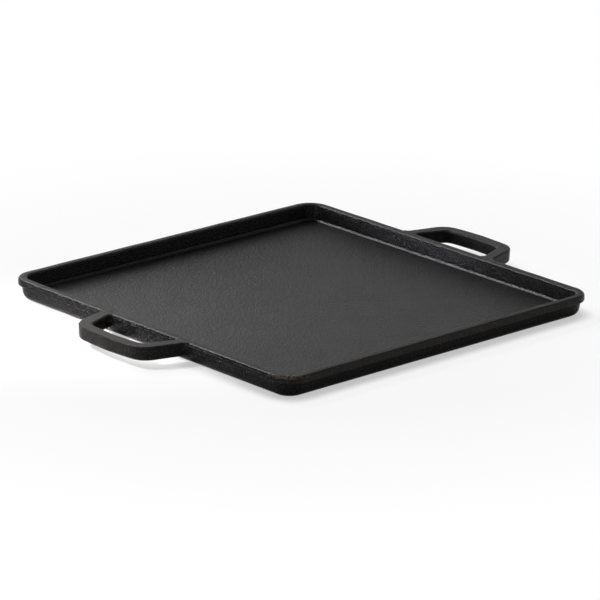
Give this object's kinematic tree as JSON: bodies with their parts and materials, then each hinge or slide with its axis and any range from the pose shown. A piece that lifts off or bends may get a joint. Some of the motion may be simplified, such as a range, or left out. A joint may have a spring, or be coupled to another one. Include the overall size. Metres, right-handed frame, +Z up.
{
  "type": "camp griddle plate",
  "caption": "Square, shallow cast-iron griddle plate with a flat cooking floor, a lipped rim and a loop handle on each of two opposite sides, for cooking over a camp stove or fire.",
  "frame": {"origin": "middle of the flat underside, in the plane that the plate rests on", "axes": "+Z up out of the cooking floor, +X through the right handle, -Y towards the front"},
  "size_m": [0.434, 0.35, 0.0195],
  "materials": {
    "seasoned_iron": "satin black baked-on seasoning over a fine sand-cast grain, a little lighter and warmer along the edges"
  },
  "bodies": {
    "root": {"floor_plate": "seasoned_iron", "front_rim": "seasoned_iron", "back_rim": "seasoned_iron", "left_rim": "seasoned_iron", "right_rim": "seasoned_iron", "front_left_corner": "seasoned_iron", "front_right_corner": "seasoned_iron", "back_left_corner": "seasoned_iron", "back_right_corner": "seasoned_iron", "left_handle": "seasoned_iron", "right_handle": "seasoned_iron"}
  },
  "joints": []
}
